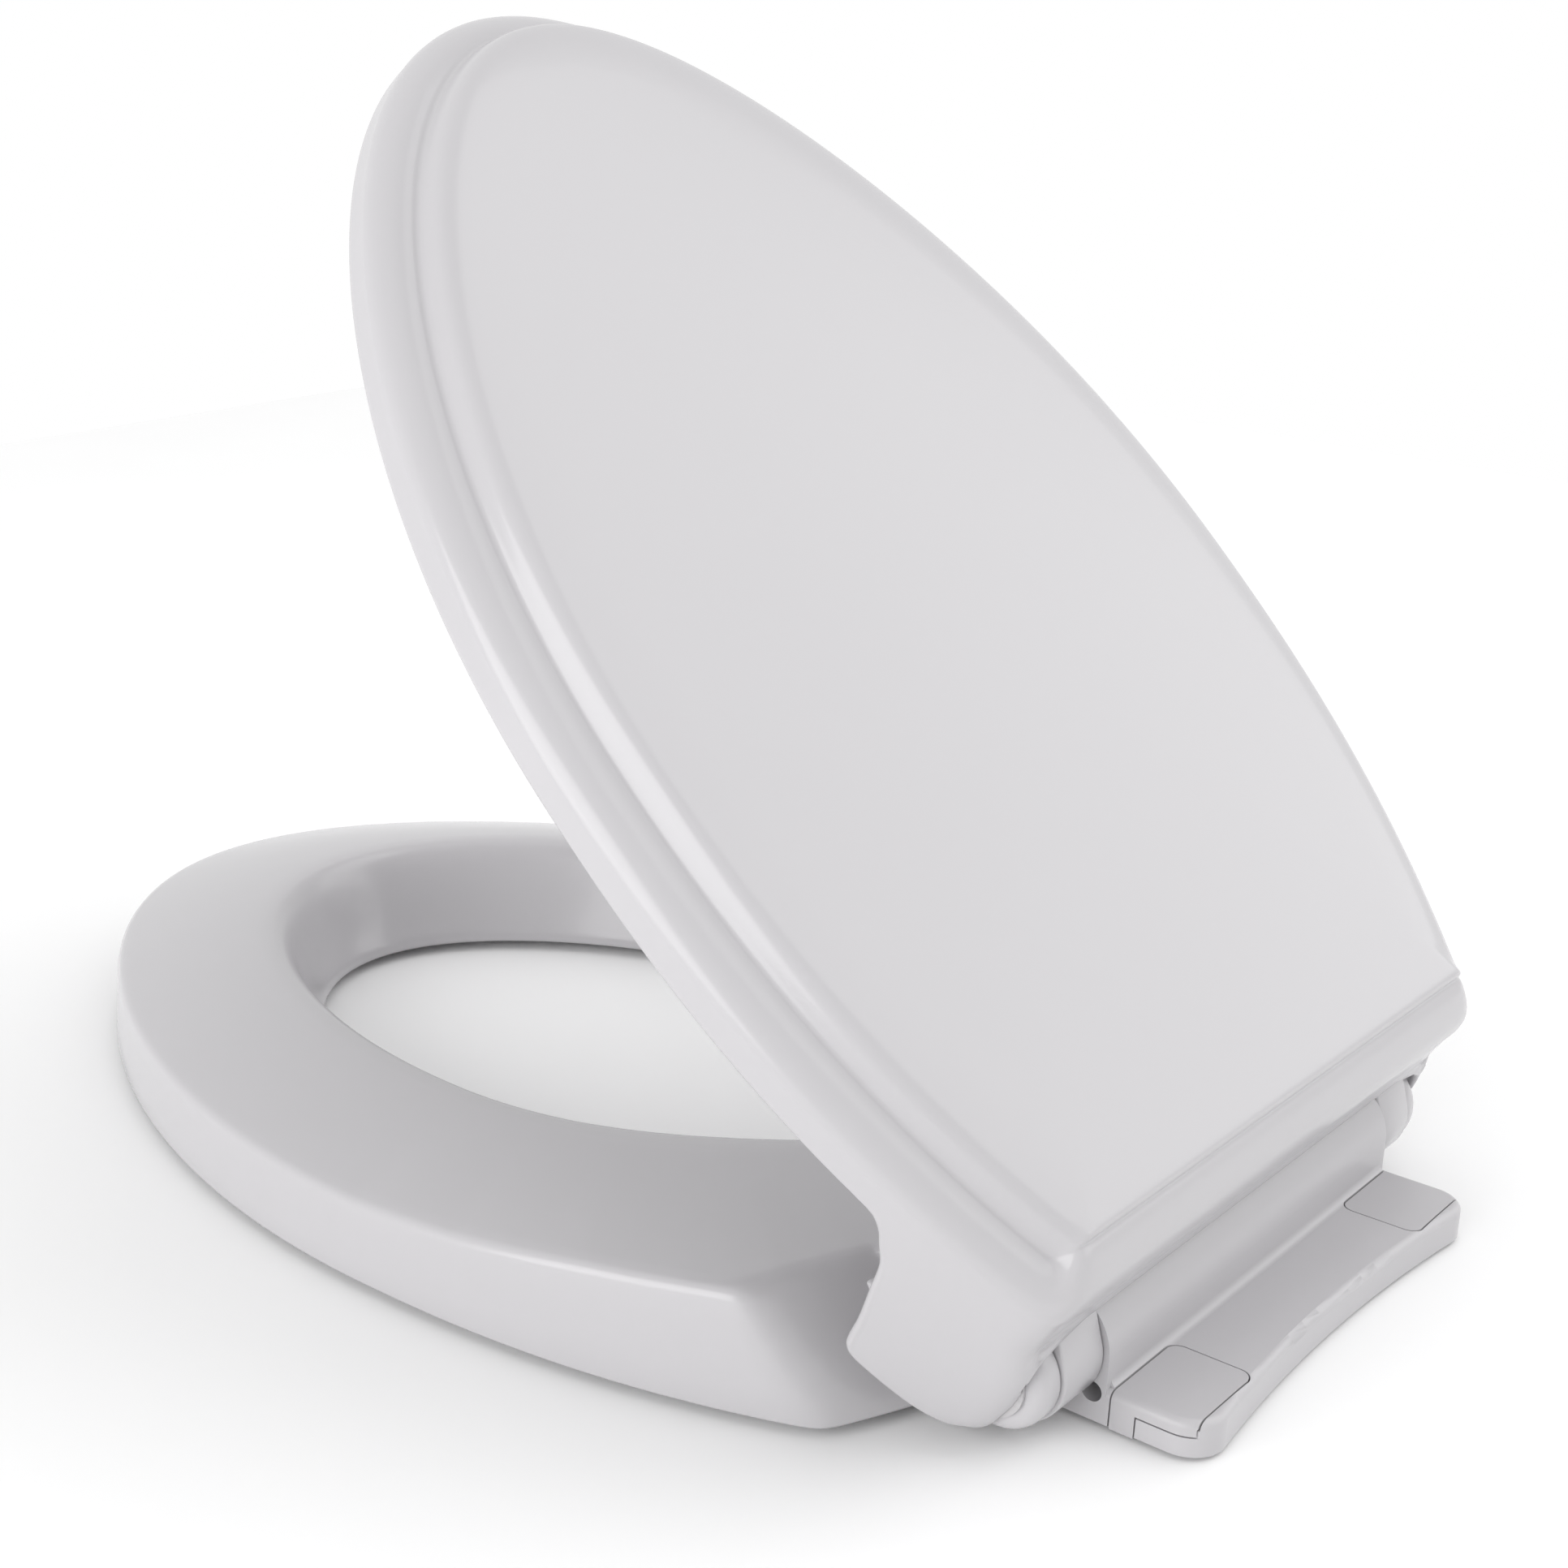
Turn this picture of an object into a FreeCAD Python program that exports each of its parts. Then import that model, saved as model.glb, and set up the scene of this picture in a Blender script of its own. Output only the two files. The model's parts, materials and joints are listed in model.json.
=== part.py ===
"""Slow-close toilet seat, lid and hinge base.  Millimetres, +Z up, -Y towards the front of the bowl.

The origin is on the plane that the base stands on, midway between the two bolt slots.
The lid is modelled shut and then turned open about the hinge axis to its rest angle.
"""
import FreeCAD, Part
import math
import os

V = FreeCAD.Vector

# ---------------------------------------------------------------- plan shape of seat and lid
half_width = 176.0          # widest half width of the seat
front_y = -480.0            # front tip of the seat
widest_y = -220.0           # where the seat is widest
taper_end_y = -6.0          # where the tapering rear part would end
taper_narrowing = 62.0      # how much slimmer each side is at that end
taper_power = 2.28          # how late the rear part tapers
nose_pinch = 0.12           # how much slimmer than an ellipse the nose is

# ---------------------------------------------------------------- hinge
barrel_radius = 18.0
barrel_inset = 86.0         # widest half width to the barrel's end
barrel_front_gap = 4.5      # between barrel housing and seat rear wall
axis_y = -32.0
axis_rise = 4.0             # underside of the barrel over the supporting plane
rest_angle = 43.8           # lid opening at rest, degrees
lid_knuckle_step = 1.5      # lid knuckle under the barrel's radius
lid_knuckle_width = 20.5
seat_knuckle_step = 2.5     # seat knuckle under the barrel's radius
seat_knuckle_width = 9.6
knuckle_gap = 0.4           # side clearance between barrel, lid knuckle and seat knuckle

barrel_half_length = half_width - barrel_inset
axis_z = barrel_radius + axis_rise
lid_knuckle_radius = barrel_radius - lid_knuckle_step
seat_knuckle_radius = barrel_radius - seat_knuckle_step

# ---------------------------------------------------------------- seat ring
seat_bottom_z = 3.0         # lower edge of the ring
seat_height = 40.0          # ring height over its lower edge
seat_wall = 3.0
seat_plate_thick = 2.6      # closing plate in the underside
seat_plate_recess = 0.6     # plate above the ring's lower edge
seat_plate_gap = 0.3        # between plate and walls
seat_corner_front = 14.0        # rear corner of the side wall in front of the rear wall, at the lower edge
seat_corner_slope = 0.54        # how far the corner moves forward per mm of height
seat_corner_turn = 0.44         # how far the corner wall moves rearward per mm inward
ring_side_width = 77.0      # outline to opening at the widest place
ring_front_width = 86.0
ring_rear_width = 54.5
hole_widest_back = 15.0     # opening's widest place in front of the seat's
arm_root = 26.0             # hinge arm's reach into the ring
arm_drop = 6.0              # hinge arm under the crown
arm_side_gap = 0.5          # hinge arm to the corner wall, and to the front of its notch in the lower plate
arm_blend_turn = 41.0       # where the arm's top meets the knuckle, degrees over the horizontal
hole_front_pinch = 0.02
hole_rear_pinch = 0.05
lip_height = 4.5            # upright lip round the opening
crown_rounding = ((17.0, 1.5), (11.0, 4.5), (5.0, 12.0), (0.0, 28.0))   # under the crown, inside the outline
opening_flare = ((0.12, 3.5), (0.32, 8.0), (0.62, 14.0), (0.85, 21.0), (1.05, 33.0))   # share of rise, growth
corner_wall_extra = 1.0     # rear corner wall thicker than the others
cut_margin = 1.0            # how far cutting shapes run past the faces they open

seat_rear_y = axis_y - barrel_radius - barrel_front_gap
seat_corner_bottom_y = seat_rear_y - seat_corner_front
seat_top_z = seat_bottom_z + seat_height
hole_half_width = half_width - ring_side_width
hole_widest_y = widest_y - hole_widest_back
hole_front_y = front_y + ring_front_width
hole_rear_y = seat_rear_y - ring_rear_width

# ---------------------------------------------------------------- seat feet
foot_radius = 11.0
foot_round = 1.2
foot_stem_radius = 4.0
foot_head_radius = 5.5
foot_head_thick = 1.6
foot_inset = 34.0           # foot centre inside the outline
foot_turns = (0.24, 1.31)   # places along the outline

# ---------------------------------------------------------------- dampers
barrel_wall = 5.5
damper_gap = 0.1            # radial gap of the housing in its bore
damper_length = 60.0
damper_end_gap = 1.0        # behind the housing's closed end
damper_wall = 2.4
damper_cap_thick = 4.0
damper_cap_recess = 1.5     # cap face below the end of the barrel
shaft_radius = 5.5
shaft_flat_depth = 1.1      # depth of each driving flat
vane_thick = 3.0
vane_gap = 0.3              # vane tip to housing wall
vane_end_gap = 0.5          # vane to the ends of its chamber
seal_wall = 2.1
seal_thick = 1.8
bush_wall = 2.5
bush_flange_reach = 2.0
bush_flange_thick = 1.2
running_gap = 0.05          # radial clearance of a shaft that turns
keyed_gap = 0.02            # radial clearance of parts that turn together

damper_bore_radius = barrel_radius - barrel_wall
damper_radius = damper_bore_radius - damper_gap
shaft_flat = shaft_radius - shaft_flat_depth
seal_radius = shaft_radius + seal_wall
bush_radius = shaft_radius + bush_wall

# ---------------------------------------------------------------- base
base_underside_z = 1.0      # moulding over the supporting plane, filled by the pads
plate_top_z = 12.0
plate_rear_y = 19.0         # rear corners of the plate
plate_arch = 6.5            # how far the rear edge curves in between the corners
plate_corner_radius = 11.0
plate_edge_radius = 2.5
plate_foot_radius = 2.5     # fillet between plate and barrel housing
drain_radius = 3.2
drain_depth = 14.0
drain_from_axis_y = 13.5
drain_z = 10.0
pad_thick = 2.0
pad_length = 60.0
pad_width = 9.0
pad_y = -40.0
pad_end_inset = 12.0        # pad to the barrel's end

# ---------------------------------------------------------------- bolt slots and their covers
bolt_spacing = 140.0
slot_length = 24.0
slot_half_width = 4.25
pocket_floor_z = 5.0
pocket_inner_reach = 12.5   # pocket from the slot's middle, inwards and outwards
pocket_outer_reach = 14.0
pocket_frame = 2.8          # cover beyond the pocket, front and rear
cover_inner_reach = 15.0    # cover's inner edge from the slot's middle
cover_barrel_gap = 1.8      # cover to the barrel housing
cover_width = 25.6          # cover size along Y
cover_corner_radius = 4.0
cover_thick = 2.2
cover_skirt_thick = 2.4
cover_skirt_bottom_z = 7.5
cover_tab_width = 7.6
cover_tab_bottom_z = 0.5
cover_seam = 0.5
cover_rib_height = 1.8      # guide ribs under the cover, along its travel
cover_rib_thick = 1.6
cover_rib_gap = 0.4

cover_inner_x = bolt_spacing / 2 - cover_inner_reach
cover_front_y = axis_y + barrel_radius + cover_barrel_gap
cover_rear_y = cover_front_y + cover_width
pocket_inner_x = bolt_spacing / 2 - pocket_inner_reach
pocket_outer_x = bolt_spacing / 2 + pocket_outer_reach
pocket_front_y = cover_front_y + pocket_frame
pocket_rear_y = cover_rear_y - pocket_frame

# ---------------------------------------------------------------- lid, measured shut
lid_overhang = 1.0          # lid outline beyond the seat outline
lid_seat_gap = 7.5          # lid rim over the seat's crown
lid_height = 27.0
lid_wall = 3.2
lid_rounding = ((19.5, 0.5), (14.5, 4.5), (11.0, 11.0), (9.0, 14.0), (4.0, 18.0), (2.0, 21.0), (0.0, 30.0))
#                             wall, roll, ridge, step and panel: under the top, inside the outline
lid_barrel_gap = 2.3        # lower rear edge over the barrel
lid_rear_edge_back = 2.0    # lower rear edge in front of the axis
lid_rear_lean = 18.0        # how far the rear wall rolls forward over its height
lid_rear_roll = 3.7         # how late it does so
wing_front_top = 51.0       # wing's front edge from the axis, at the rim and at the bottom
wing_front_bottom = 29.0
wing_bottom_z = 4.0
wing_back = 9.0             # wing behind the axis
wing_back_high = 2.0        # the same above the barrel
wing_corner_radius = 5.0
lid_bumper_radius = 8.0
lid_bumper_stem_share = 0.6
lid_bumper_inset = 31.0
lid_bumper_turns = (1.31, 0.27)     # rear and front places along the outline
bumper_play = 0.4           # lid bumper over the shut seat

lid_rim_z = seat_top_z + lid_seat_gap
lid_top_z = lid_rim_z + lid_height
lid_rear_edge_y = axis_y - lid_rear_edge_back
lid_rear_edge_z = axis_z + barrel_radius + lid_barrel_gap


def outline_point(u):
    """Point of the seat's half outline: u 0..1 is the nose, u over 1 the tapering rear."""
    if u <= 1.0:
        t = u * math.pi / 2
        x = half_width * math.sin(t) * (1 - nose_pinch * math.cos(t) ** 2)
        return x, widest_y - (widest_y - front_y) * math.cos(t)
    s = u - 1.0
    x = half_width - taper_narrowing * s ** taper_power
    return x, widest_y + (taper_end_y - widest_y) * s


def hole_point(u):
    """Point of the opening's lip, u 0..1 once round from the front tip."""
    t = u * 2 * math.pi
    front = math.cos(t) > 0
    reach = hole_widest_y - hole_front_y if front else hole_rear_y - hole_widest_y
    pinch = hole_front_pinch if front else hole_rear_pinch
    shrink = 1 - pinch * math.sin(2 * t) ** 2
    return hole_half_width * math.sin(t) * shrink, hole_widest_y - reach * math.cos(t) * shrink


def shifted(curve, u, inset):
    """Point of a curve moved sideways, to the left of its direction for a positive inset."""
    step = 1e-4
    x0, y0 = curve(max(u - step, 0.0))
    x1, y1 = curve(u + step)
    length = math.hypot(x1 - x0, y1 - y0)
    x, y = curve(u)
    return x - (y1 - y0) / length * inset, y + (x1 - x0) / length * inset


def outline_end(inset, rear_y):
    """Value of u where the shifted outline reaches rear_y."""
    low, high = 1.0, 1.3
    while shifted(outline_point, high, inset)[1] < rear_y:
        high += 0.1
    for _ in range(40):
        middle = (low + high) / 2
        if shifted(outline_point, middle, inset)[1] < rear_y:
            low = middle
        else:
            high = middle
    return (low + high) / 2


def outline_wire(z, inset, rear_y):
    """Closed outline at height z: one curve round the front and a straight rear edge."""
    end = outline_end(inset, rear_y)
    us = [i / 9 for i in range(10)] + [1 + (end - 1) * i / 6 for i in range(1, 7)]
    half = [shifted(outline_point, u, inset) for u in us]
    half[0] = (0.0, half[0][1])
    points = [V(-x, y, z) for x, y in reversed(half)] + [V(x, y, z) for x, y in half[1:]]
    curve = Part.BSplineCurve()
    curve.interpolate(points)
    return Part.Wire([curve.toShape(), Part.makeLine(points[-1], points[0])])


def hole_wire(z, growth):
    """Closed line round the opening at height z, growth outside the lip."""
    count = 20
    points = [V(*shifted(hole_point, i / count, -growth), z) for i in range(count)]
    curve = Part.BSplineCurve()
    curve.interpolate(Points=points, PeriodicFlag=True)
    return Part.Wire([curve.toShape()])


def loft(wires):
    return Part.makeLoft(wires, True, True)


def box(x0, x1, y0, y1, z0, z1):
    return Part.makeBox(x1 - x0, y1 - y0, z1 - z0, V(x0, y0, z0))


def prism(points_yz, x0, x1):
    """Straight solid along X with the given side view."""
    outline = Part.makePolygon([V(x0, y, z) for y, z in points_yz + points_yz[:1]])
    return Part.Face(outline).extrude(V(x1 - x0, 0, 0))


def cyl_x(radius, x0, x1, y=axis_y, z=axis_z):
    return Part.makeCylinder(radius, x1 - x0, V(x0, y, z), V(1, 0, 0))


def cyl_z(radius, x, y, z0, z1):
    return Part.makeCylinder(radius, z1 - z0, V(x, y, z0))


def mirror(shape):
    return shape.mirror(V(0, 0, 0), V(1, 0, 0))


def fused(shapes):
    return shapes[0].multiFuse(shapes[1:]).removeSplitter()


def both_sides(shape):
    return [shape, mirror(shape)]


def opened(shape):
    """Turn a shape of the shut lid to the rest angle."""
    turned = shape.copy()
    turned.rotate(V(0, axis_y, axis_z), V(1, 0, 0), -rest_angle)
    return turned


def slot_solid(x, z0, z1, grow=0.0):
    """Slot along X, centred on x, from z0 to z1."""
    radius = slot_half_width + grow
    reach = slot_length / 2 - slot_half_width
    middle = box(x - reach, x + reach, -radius, radius, z0, z1)
    ends = [cyl_z(radius, x + side * reach, 0, z0, z1) for side in (-1, 1)]
    return fused([middle] + ends)


# ================================================================ where the pieces sit along X
lid_knuckle_x0 = barrel_half_length + knuckle_gap
lid_knuckle_x1 = lid_knuckle_x0 + lid_knuckle_width
seat_knuckle_x0 = lid_knuckle_x1 + knuckle_gap
seat_knuckle_x1 = seat_knuckle_x0 + seat_knuckle_width
damper_x1 = barrel_half_length - damper_cap_recess - damper_cap_thick
damper_x0 = damper_x1 - damper_length
damper_cap_x1 = damper_x1 + damper_cap_thick
seat_bush_x1 = seat_knuckle_x1 + bush_flange_thick


# ================================================================ seat
def seat_outer(inset, floor_z, drop):
    """Outside of the ring, or its cavity when inset and drop are the wall."""
    top = seat_top_z - drop
    profile = [(floor_z, 0.0), (seat_bottom_z + lip_height, 0.0)]
    profile += [(top - under, side) for under, side in crown_rounding]
    return loft([outline_wire(z, side + inset, seat_rear_y - inset) for z, side in profile])


def seat_opening(growth, floor_z):
    """Opening through the ring, wider towards the top; growth gives the cavity's inner side."""
    lip = seat_bottom_z + lip_height
    rise = seat_top_z - lip
    wires = [hole_wire(floor_z, growth), hole_wire(lip, growth)]
    wires += [hole_wire(lip + rise * part, growth + out) for part, out in opening_flare]
    return loft(wires)


def side_x(y):
    """Half width of the tapering rear part at y."""
    return half_width - taper_narrowing * ((y - widest_y) / (taper_end_y - widest_y)) ** taper_power


def corner_cut(back=0.0):
    """Solid behind the slanted rear corner wall at +X, moved forward by back."""
    low, height, margin = -20.0, seat_top_z + 40.0, 40.0
    lean = seat_corner_slope * height
    corner_x = side_x(seat_corner_bottom_y)
    x_in, x_out = seat_knuckle_x0 - arm_side_gap, half_width + margin

    def edge(x):
        rear = seat_corner_bottom_y + (corner_x - x) * seat_corner_turn - back
        return V(x, rear + seat_corner_slope * (seat_bottom_z - low), low)

    rear_y = plate_rear_y + 2 * lean
    points = [edge(x_in), edge(x_out), V(x_out, rear_y, low), V(x_in, rear_y, low)]
    face = Part.Face(Part.makePolygon(points + points[:1]))
    return face.extrude(V(0, -lean, height))


def seat_arm():
    """Hinge arm of the seat at +X with its knuckle, its root inside the ring."""
    root_y = seat_rear_y - arm_root
    shoulder_y = seat_rear_y - arm_root / 2
    blend = math.radians(arm_blend_turn)
    side = [(axis_y, axis_z - seat_knuckle_radius), (root_y, seat_bottom_z + seat_plate_recess),
            (root_y, seat_top_z - arm_drop), (shoulder_y, seat_top_z - arm_drop),
            (axis_y - seat_knuckle_radius * math.cos(blend), axis_z + seat_knuckle_radius * math.sin(blend))]
    web = prism(side, seat_knuckle_x0, seat_knuckle_x1)
    return web.fuse(cyl_x(seat_knuckle_radius, seat_knuckle_x0, seat_knuckle_x1))


def make_seat_upper_shell():
    cuts = both_sides(corner_cut())
    body = seat_outer(0, seat_bottom_z, 0).cut(seat_opening(0, seat_bottom_z - 5))
    body = body.cut(Part.makeCompound(cuts))
    cavity = seat_outer(seat_wall, seat_bottom_z - 5, seat_wall)
    cavity = cavity.cut(seat_opening(seat_wall, seat_bottom_z - 8))
    cavity = cavity.cut(Part.makeCompound(both_sides(corner_cut(seat_wall + corner_wall_extra))))
    body = body.cut(cavity)
    body = fused([body] + both_sides(seat_arm()))
    bore = bush_radius + keyed_gap
    holes = both_sides(cyl_x(bore, seat_knuckle_x0 - cut_margin, seat_knuckle_x1 + cut_margin))
    return body.cut(Part.makeCompound(holes))


def foot_places():
    """Centre of each seat foot: front right, front left, rear right, rear left."""
    places = []
    for turn in foot_turns:
        x, y = shifted(outline_point, turn, foot_inset)
        places += [(x, y), (-x, y)]
    return places


def make_seat_lower_plate():
    """Closing plate, held between the sides of the two hinge arms."""
    inset = seat_wall + seat_plate_gap
    z0 = seat_bottom_z + seat_plate_recess
    z1 = z0 + seat_plate_thick
    outer = loft([outline_wire(z, inset, seat_rear_y - inset) for z in (z0, z1)])
    inner = loft([hole_wire(z, inset) for z in (z0 - cut_margin, z1 + cut_margin)])
    plate = outer.cut(inner)
    plate = plate.cut(Part.makeCompound(both_sides(corner_cut(inset + corner_wall_extra + seat_plate_gap))))
    arm_notch = box(seat_knuckle_x0, seat_knuckle_x1, seat_rear_y - arm_root - arm_side_gap, 0,
                    z0 - cut_margin, z1 + cut_margin)
    stems = [cyl_z(foot_stem_radius, x, y, z0 - cut_margin, z1 + cut_margin) for x, y in foot_places()]
    return plate.cut(Part.makeCompound(both_sides(arm_notch) + stems))


def make_seat_foot(x, y):
    z0 = seat_bottom_z + seat_plate_recess
    z1 = z0 + seat_plate_thick
    disc = cyl_z(foot_radius, x, y, 0, z0)
    bottom = [edge for edge in disc.Edges if edge.BoundBox.ZMax < 0.01]
    disc = disc.makeFillet(foot_round, bottom)
    stem = cyl_z(foot_stem_radius, x, y, z0, z1)
    head = cyl_z(foot_head_radius, x, y, z1, z1 + foot_head_thick)
    return fused([disc, stem, head])


# ================================================================ hinge bushes, dampers and shafts
def bush(x0, x1, flats):
    """Bush from x0 to x1; flats turns its round bore into a driving one."""
    gap = keyed_gap if flats else running_gap
    bore = cyl_x(shaft_radius + gap, x0 - cut_margin, x1 + cut_margin)
    if flats:
        reach = shaft_flat + gap
        side = shaft_radius + 1
        slab = box(x0 - 2, x1 + 2, axis_y - side, axis_y + side, axis_z - reach, axis_z + reach)
        bore = bore.common(slab)
    return cyl_x(bush_radius, x0, x1).cut(bore)


def make_lid_bush(flats, side):
    shape = bush(lid_knuckle_x0, lid_knuckle_x1, flats)
    if flats:
        shape = opened(shape)
    return shape if side > 0 else mirror(shape)


def make_seat_bush(flats, side):
    """Bush in a seat knuckle, with a flange on its outer end."""
    flange = cyl_x(bush_radius + bush_flange_reach, seat_knuckle_x1, seat_bush_x1)
    flange = flange.cut(cyl_x(bush_radius, seat_knuckle_x1 - cut_margin, seat_bush_x1 + cut_margin))
    shape = fused([bush(seat_knuckle_x0, seat_bush_x1, flats), flange])
    return shape if side > 0 else mirror(shape)


def make_damper_housing(side):
    outer = cyl_x(damper_radius, damper_x0, damper_x1)
    inner_radius = damper_radius - damper_wall
    chamber = cyl_x(inner_radius, damper_x0 + damper_wall, damper_x1 + cut_margin)
    rib = box(damper_x0, damper_x1, axis_y - vane_thick / 2, axis_y + vane_thick / 2,
              axis_z - inner_radius - damper_wall / 2, axis_z - shaft_radius - vane_gap)
    shape = fused([outer.cut(chamber), rib])
    return shape if side > 0 else mirror(shape)


def make_damper_cap(side):
    outer = cyl_x(damper_radius, damper_x1, damper_cap_x1)
    hole = cyl_x(shaft_radius + running_gap, damper_x1 - cut_margin, damper_cap_x1 + cut_margin)
    groove = cyl_x(seal_radius, damper_cap_x1 - seal_thick, damper_cap_x1 + cut_margin)
    shape = outer.cut(hole).cut(groove)
    return shape if side > 0 else mirror(shape)


def make_damper_seal(side):
    shape = cyl_x(seal_radius - keyed_gap, damper_cap_x1 - seal_thick, damper_cap_x1)
    shape = shape.cut(cyl_x(shaft_radius + running_gap, damper_x1, damper_cap_x1 + cut_margin))
    return shape if side > 0 else mirror(shape)


def make_damper_shaft(side):
    """Vane shaft: right one turns with the lid, left one with the seat."""
    x0 = damper_x0 + damper_wall + vane_end_gap
    shaft = cyl_x(shaft_radius, x0, seat_bush_x1)
    drive_x = (lid_knuckle_x0, lid_knuckle_x1) if side > 0 else (seat_knuckle_x0, seat_bush_x1 + 1)
    around = shaft_radius + 1
    for sign in (-1, 1):
        low, high = sorted((axis_z + sign * shaft_flat, axis_z + sign * around))
        shaft = shaft.cut(box(drive_x[0], drive_x[1], axis_y - around, axis_y + around, low, high))
    tip = damper_radius - damper_wall - vane_gap
    vane = box(x0, damper_x1 - vane_end_gap, axis_y - vane_thick / 2, axis_y + vane_thick / 2,
               axis_z, axis_z + tip)
    shape = fused([shaft, vane.common(cyl_x(tip, x0, damper_x1))])
    return opened(shape) if side > 0 else mirror(shape)


# ================================================================ base
def plate_envelope():
    """Plate of the base with its arched rear edge and rounded rear corners."""
    front = seat_rear_y + barrel_front_gap
    left, right = -barrel_half_length, barrel_half_length
    corners = [V(left, front, 0), V(right, front, 0), V(right, plate_rear_y, 0), V(left, plate_rear_y, 0)]
    arch = Part.Arc(corners[2], V(0, plate_rear_y - plate_arch, 0), corners[3]).toShape()
    edges = [Part.makeLine(corners[0], corners[1]), Part.makeLine(corners[1], corners[2]),
             arch, Part.makeLine(corners[3], corners[0])]
    solid = Part.Face(Part.Wire(edges)).extrude(V(0, 0, plate_top_z))
    upright = [edge for edge in solid.Edges
               if edge.BoundBox.ZLength > plate_top_z / 2 and edge.BoundBox.YMin > plate_rear_y - 1]
    solid = solid.makeFillet(plate_corner_radius, upright)
    rear = [edge for edge in solid.Edges
            if edge.BoundBox.ZMin > plate_top_z - 0.01 and edge.BoundBox.YMin > front + 1
            and not isinstance(edge.Curve, Part.Line)]
    return solid.makeFillet(plate_edge_radius, rear)


def cover_room(grow):
    """Space of the cover at +X, grow larger all round."""
    radius = cover_corner_radius + grow
    x0 = cover_inner_x - grow
    x1 = barrel_half_length + 5
    y0, y1 = cover_front_y - grow, cover_rear_y + grow
    top = box(x0, x1, y0, y1, plate_top_z - cover_thick - grow, plate_top_z + 5)
    inner = [edge for edge in top.Edges
             if abs(edge.BoundBox.XMax - x0) < 0.01 and edge.BoundBox.ZLength > 1]
    top = top.makeFillet(radius, inner)
    skirt_x = barrel_half_length - cover_skirt_thick - grow
    skirt = box(skirt_x, x1, y0, y1, cover_skirt_bottom_z - grow, plate_top_z + 5)
    tab = box(skirt_x, x1, y0, cover_front_y + cover_tab_width + grow, cover_tab_bottom_z - 3 * grow,
              plate_top_z + 5)
    return fused([top, skirt, tab])


def make_bolt_cover(side):
    """Cover that slides outwards off its bolt pocket on two guide ribs."""
    cover = plate_envelope().common(cover_room(0))
    top = plate_top_z - cover_thick
    front, rear = pocket_front_y + cover_rib_gap, pocket_rear_y - cover_rib_gap
    end = barrel_half_length - cover_skirt_thick
    ribs = [box(pocket_inner_x + cover_rib_gap, end, y, y + cover_rib_thick, top - cover_rib_height, top)
            for y in (front, rear - cover_rib_thick)]
    shape = fused([cover] + ribs)
    return shape if side > 0 else mirror(shape)


def base_half_cuts():
    """Everything cut into the base at +X."""
    slot_x = bolt_spacing / 2
    pocket = box(pocket_inner_x, pocket_outer_x, pocket_front_y, pocket_rear_y, pocket_floor_z, plate_top_z)
    track = box(pocket_inner_x, barrel_half_length + 1, pocket_front_y, pocket_rear_y,
                plate_top_z - cover_thick - cover_rib_height - cover_rib_gap, plate_top_z)
    drain_x = barrel_half_length
    return [cyl_x(damper_bore_radius, damper_x0 - damper_end_gap, barrel_half_length + cut_margin),
            cover_room(cover_seam), pocket, track, slot_solid(slot_x, -1, pocket_floor_z + 1),
            cyl_x(drain_radius, drain_x - drain_depth, drain_x + 2, axis_y + drain_from_axis_y, drain_z),
            pad_room(-keyed_gap)]


def pad_room(shrink):
    """Pad of the base at +X; shrink is taken off all round."""
    x0 = barrel_half_length - pad_end_inset - pad_length
    return box(x0 + shrink, x0 + pad_length - shrink, pad_y + shrink, pad_y + pad_width - shrink,
               0 if shrink >= 0 else -1, pad_thick + max(-shrink, 0))


def plate_foot():
    """Concave fillet along the foot of the barrel housing."""
    y, z, reach = axis_y + barrel_radius, plate_top_z, barrel_half_length - plate_edge_radius
    radius = plate_foot_radius
    wedge = box(-reach, reach, y - 1, y + radius, z - 1, z + radius)
    return wedge.cut(cyl_x(radius, -reach - 1, reach + 1, y + radius, z + radius))


def make_hinge_base():
    front = seat_rear_y + barrel_front_gap
    housing = box(-barrel_half_length, barrel_half_length, front, axis_y + barrel_radius, 0, axis_z)
    barrel = cyl_x(barrel_radius, -barrel_half_length, barrel_half_length)
    body = fused([plate_envelope(), housing, barrel, plate_foot()])
    below = box(-half_width, half_width, front - 1, plate_rear_y + 1, -5, base_underside_z)
    body = body.cut(below)
    cuts = base_half_cuts()
    cuts += [mirror(cut) for cut in cuts]
    for cut in cuts:
        body = body.cut(cut)
    return body


def make_base_pads():
    return Part.makeCompound(both_sides(pad_room(0.0)))


# ================================================================ lid, shut
wing_front_top_y = axis_y - wing_front_top
wing_front_bottom_y = axis_y - wing_front_bottom
wing_rear_y = axis_y + wing_back


def lid_rear_y(z):
    """Outside of the lid's rolled rear wall at height z."""
    share = (z - lid_rear_edge_z) / (lid_top_z - lid_rear_edge_z)
    return lid_rear_edge_y - lid_rear_lean * share ** lid_rear_roll


def lid_body(inset, drop, floor_z):
    """Outside of the lid over its rear edge height, or its hollow."""
    top = lid_top_z - drop
    profile = [(floor_z, 0.0)] + [(top - under, side) for under, side in lid_rounding]
    wires = []
    for z, side in profile:
        rear = lid_rear_y(max(z, lid_rear_edge_z)) - inset
        wires.append(outline_wire(z, side + inset - lid_overhang, rear))
    return loft(wires)


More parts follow.
